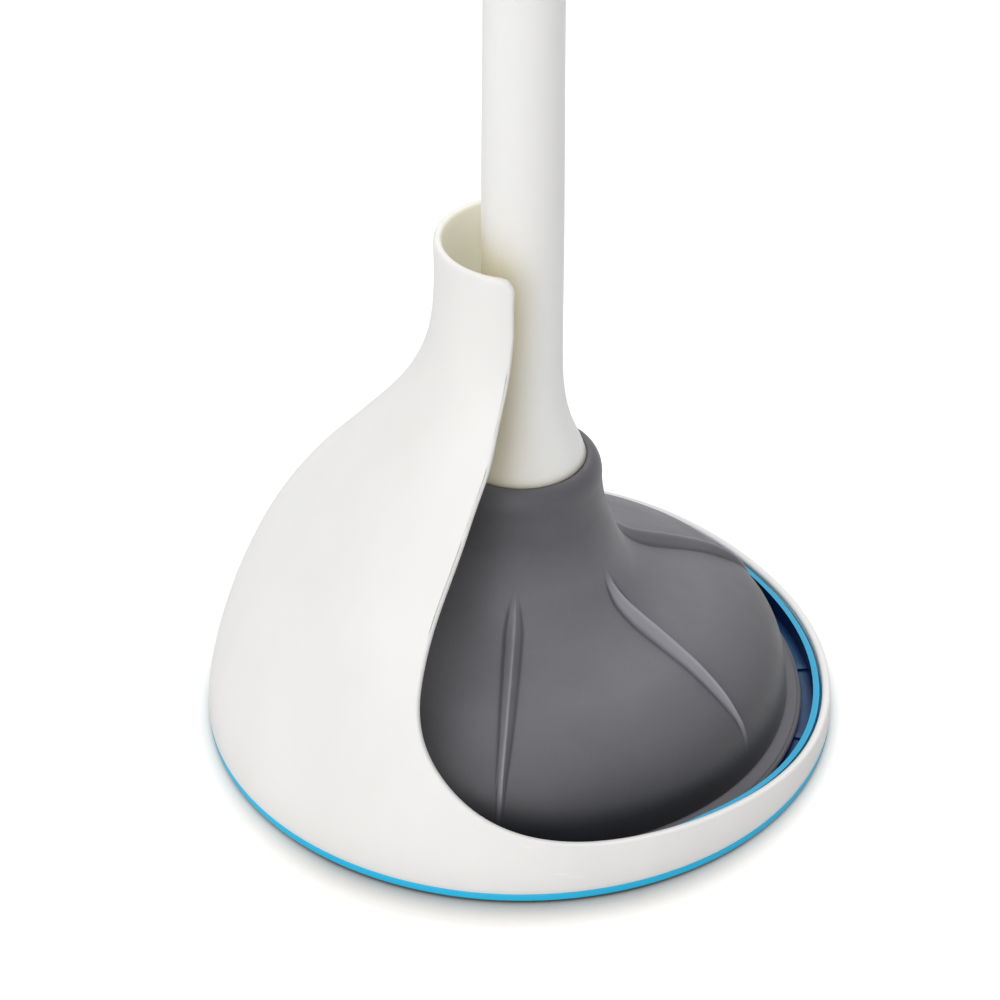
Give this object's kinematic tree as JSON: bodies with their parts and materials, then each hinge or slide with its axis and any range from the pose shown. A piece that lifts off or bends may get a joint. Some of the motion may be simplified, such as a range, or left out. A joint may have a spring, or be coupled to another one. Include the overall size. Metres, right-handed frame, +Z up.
{
  "type": "toilet plunger",
  "caption": "Toilet plunger with a ribbed bell cup and lip on a straight handle, standing in a round bell-shaped caddy whose side and collar are cut open so it lifts out.",
  "frame": {"origin": "centre of the caddy's foot, on the floor", "axes": "+Z up along the handle, +X out of the caddy's side opening, the caddy symmetric about the XZ plane"},
  "size_m": [0.1683, 0.1682, 0.5],
  "materials": {
    "shell_white": "satin-gloss moulded",
    "tray_blue": "satin-gloss moulded",
    "pad_rubber": "matt",
    "cup_rubber": "satin moulded rubber",
    "handle_white": "satin moulded",
    "plug_plastic": "matt moulded",
    "washer_steel": "brushed",
    "screw_steel": "bright",
    "grip_rubber": "soft-touch matt",
    "cap_white": "satin moulded"
  },
  "bodies": {
    "caddy": {"caddy_shell": "shell_white", "base_tray": "tray_blue", "foot_pads": "pad_rubber"},
    "cup": {"rubber_cup": "cup_rubber"},
    "handle": {"handle_shaft": "handle_white", "socket_plug": "plug_plastic", "cup_washer": "washer_steel", "cup_screw": "screw_steel", "grip_sleeve": "grip_rubber", "end_cap": "cap_white"}
  },
  "joints": [
    {"name": "plunger_lift_out", "type": "slide", "parent": "caddy", "child": "cup", "axis": [0.5664, 0, 0.8241], "range_m": [0, 0.27]},
    {"name": "cup_plunge", "type": "slide", "parent": "cup", "child": "handle", "axis": [0, 0, -1], "range_m": [0, 0.03], "stiffness_N_per_m": 2000, "deforming": ["rubber_cup"]}
  ]
}
